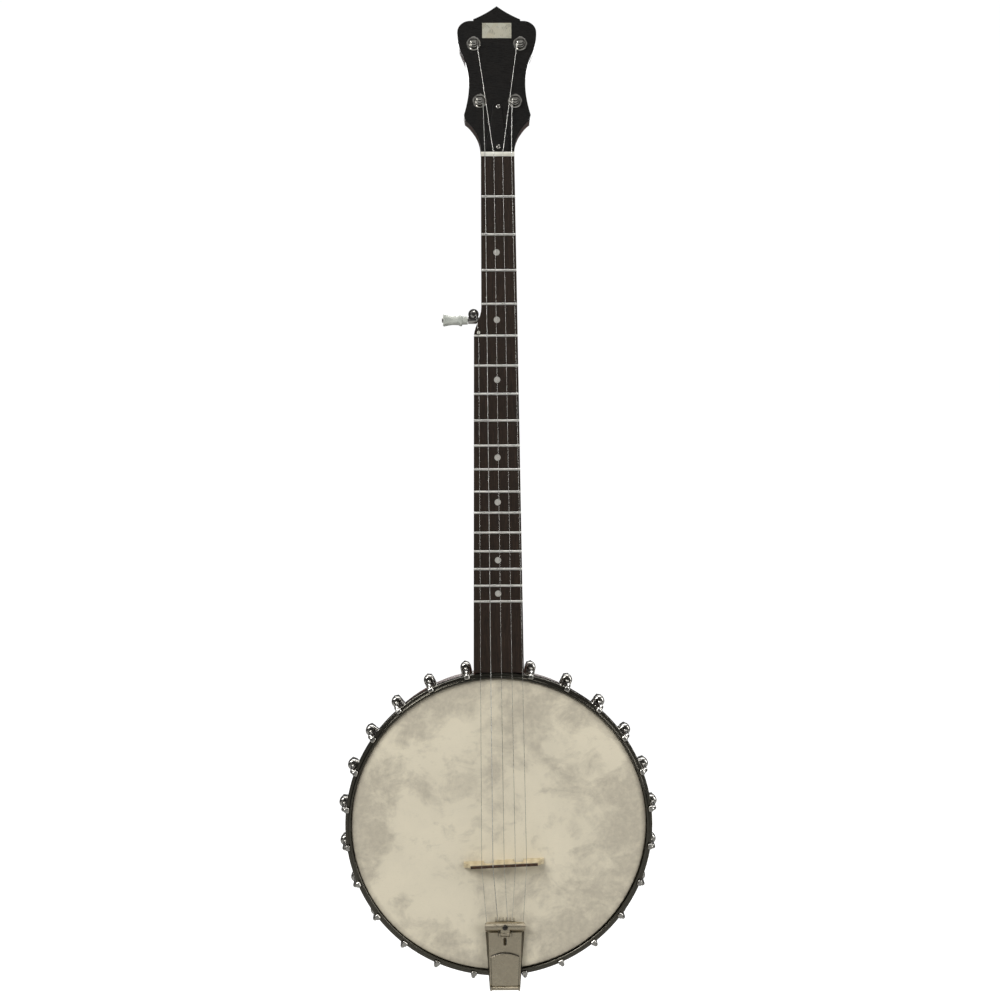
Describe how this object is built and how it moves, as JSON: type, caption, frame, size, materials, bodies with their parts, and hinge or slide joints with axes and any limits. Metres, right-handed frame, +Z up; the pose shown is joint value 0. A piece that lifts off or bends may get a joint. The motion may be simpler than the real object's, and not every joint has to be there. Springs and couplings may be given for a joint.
{
  "type": "banjo",
  "caption": "Open-back five-string banjo: hook-tensioned head on a wood rim, fretted neck, geared pegs and hinged tailpiece cover.",
  "frame": {"origin": "middle of the nut's front edge, level with the fingerboard's face, where a wall hanger's fork holds the neck", "axes": "+Z up the instrument from the pot to the headstock, square to the pot's axis; +X to the right as seen from the front; the head faces -Y"},
  "size_m": [0.3054, 0.1186, 0.9366],
  "materials": {
    "neck_wood": "dark stained satin lacquer",
    "board_wood": "oiled dark hardwood",
    "black_face": "black satin lacquer",
    "pearl": "polished pearl shell",
    "bone": "polished bone",
    "fret_wire": "polished nickel silver",
    "pearloid": "marbled pearl plastic",
    "chrome": "polished plating",
    "nickel": "warm polished nickel",
    "steel": "machined steel",
    "brass": "rolled brass",
    "rim_wood": "stained laminated maple, satin",
    "head_skin": "mottled parchment-look film",
    "maple": "bare maple",
    "ebony": "polished ebony",
    "string_steel": "plain steel wire"
  },
  "bodies": {
    "instrument": {"bracket_hooks": "chrome", "bracket_nuts": "chrome", "bracket_shoes": "chrome", "bridge_body": "maple", "bridge_cap": "ebony", "coordinator_rod": "steel", "fifth_peg_housing": "chrome", "fifth_string_pip": "bone", "fingerboard": "board_wood", "flesh_hoop": "steel", "frets": "fret_wire", "head": "head_skin", "headstock_overlay": "black_face", "name_plate": "pearl", "neck": "neck_wood", "neck_hanger_bolts": "nickel", "nut": "bone", "peg_bushings": "chrome", "peg_housing_1": "chrome", "peg_housing_2": "chrome", "peg_housing_3": "chrome", "peg_housing_4": "chrome", "position_dots": "pearl", "rim": "rim_wood", "rod_nuts": "nickel", "shoe_screws": "chrome", "string_1": "string_steel", "string_2": "string_steel", "string_3": "string_steel", "string_4": "string_steel", "string_5": "string_steel", "tailpiece_body": "nickel", "tailpiece_bolt": "nickel", "tailpiece_hinge_pins": "nickel", "tailpiece_nuts": "nickel", "tension_hoop": "chrome", "tone_ring": "brass", "truss_cover_screws": "chrome", "truss_rod": "steel", "truss_rod_cover": "black_face", "truss_rod_nut": "steel"},
    "button_1": {"peg_button_1": "pearloid", "peg_shaft_1": "chrome"},
    "post_1": {"peg_post_1": "chrome"},
    "button_2": {"peg_button_2": "pearloid", "peg_shaft_2": "chrome"},
    "post_2": {"peg_post_2": "chrome"},
    "button_3": {"peg_button_3": "pearloid", "peg_shaft_3": "chrome"},
    "post_3": {"peg_post_3": "chrome"},
    "button_4": {"peg_button_4": "pearloid", "peg_shaft_4": "chrome"},
    "post_4": {"peg_post_4": "chrome"},
    "fifth_button": {"fifth_peg_button": "pearloid", "fifth_peg_shaft": "chrome"},
    "fifth_post": {"fifth_peg_post": "chrome"},
    "cover": {"tailpiece_cover": "nickel"},
    "pressure_bar": {"tailpiece_pressure_bar": "nickel", "tailpiece_screw": "nickel"}
  },
  "joints": [
    {"name": "peg_1_turn", "type": "hinge", "parent": "instrument", "child": "button_1", "pos_m": [-0.022, 0.03121, 0.1069], "axis": [0, -0.9613, 0.2756], "continuous": true},
    {"name": "peg_1_post", "type": "hinge", "parent": "instrument", "child": "post_1", "pos_m": [-0.022, 0.03121, 0.1069], "axis": [0, -0.9613, 0.2756], "continuous": true},
    {"name": "peg_2_turn", "type": "hinge", "parent": "instrument", "child": "button_2", "pos_m": [0.022, 0.03121, 0.1069], "axis": [0, -0.9613, 0.2756], "continuous": true},
    {"name": "peg_2_post", "type": "hinge", "parent": "instrument", "child": "post_2", "pos_m": [0.022, 0.03121, 0.1069], "axis": [0, -0.9613, 0.2756], "continuous": true},
    {"name": "peg_3_turn", "type": "hinge", "parent": "instrument", "child": "button_3", "pos_m": [-0.0166, 0.01553, 0.0522], "axis": [0, -0.9613, 0.2756], "continuous": true},
    {"name": "peg_3_post", "type": "hinge", "parent": "instrument", "child": "post_3", "pos_m": [-0.0166, 0.01553, 0.0522], "axis": [0, -0.9613, 0.2756], "continuous": true},
    {"name": "peg_4_turn", "type": "hinge", "parent": "instrument", "child": "button_4", "pos_m": [0.0166, 0.01553, 0.0522], "axis": [0, -0.9613, 0.2756], "continuous": true},
    {"name": "peg_4_post", "type": "hinge", "parent": "instrument", "child": "post_4", "pos_m": [0.0166, 0.01553, 0.0522], "axis": [0, -0.9613, 0.2756], "continuous": true},
    {"name": "fifth_peg_turn", "type": "hinge", "parent": "instrument", "child": "fifth_button", "pos_m": [-0.03, 0.00417, -0.15284], "axis": [1, 0, 0], "continuous": true},
    {"name": "fifth_peg_post", "type": "hinge", "parent": "instrument", "child": "fifth_post", "pos_m": [-0.0229, 0.00436, -0.14724], "axis": [0, -0.9994, 0.0349], "continuous": true},
    {"name": "cover_hinge", "type": "hinge", "parent": "instrument", "child": "cover", "pos_m": [0.0054, -0.0254, -0.78512], "axis": [1, 0, 0], "range_deg": [0, 100]},
    {"name": "pressure_bar_tilt", "type": "hinge", "parent": "instrument", "child": "pressure_bar", "pos_m": [0.0054, -0.0245, -0.73332], "axis": [1, 0, 0], "range_deg": [0, 12]}
  ],
  "couplings": [
    {"joint": "peg_1_post", "follows": "peg_1_turn", "ratio": 0.25},
    {"joint": "peg_2_post", "follows": "peg_2_turn", "ratio": 0.25},
    {"joint": "peg_3_post", "follows": "peg_3_turn", "ratio": 0.25},
    {"joint": "peg_4_post", "follows": "peg_4_turn", "ratio": 0.25},
    {"joint": "fifth_peg_post", "follows": "fifth_peg_turn", "ratio": 0.083333}
  ]
}
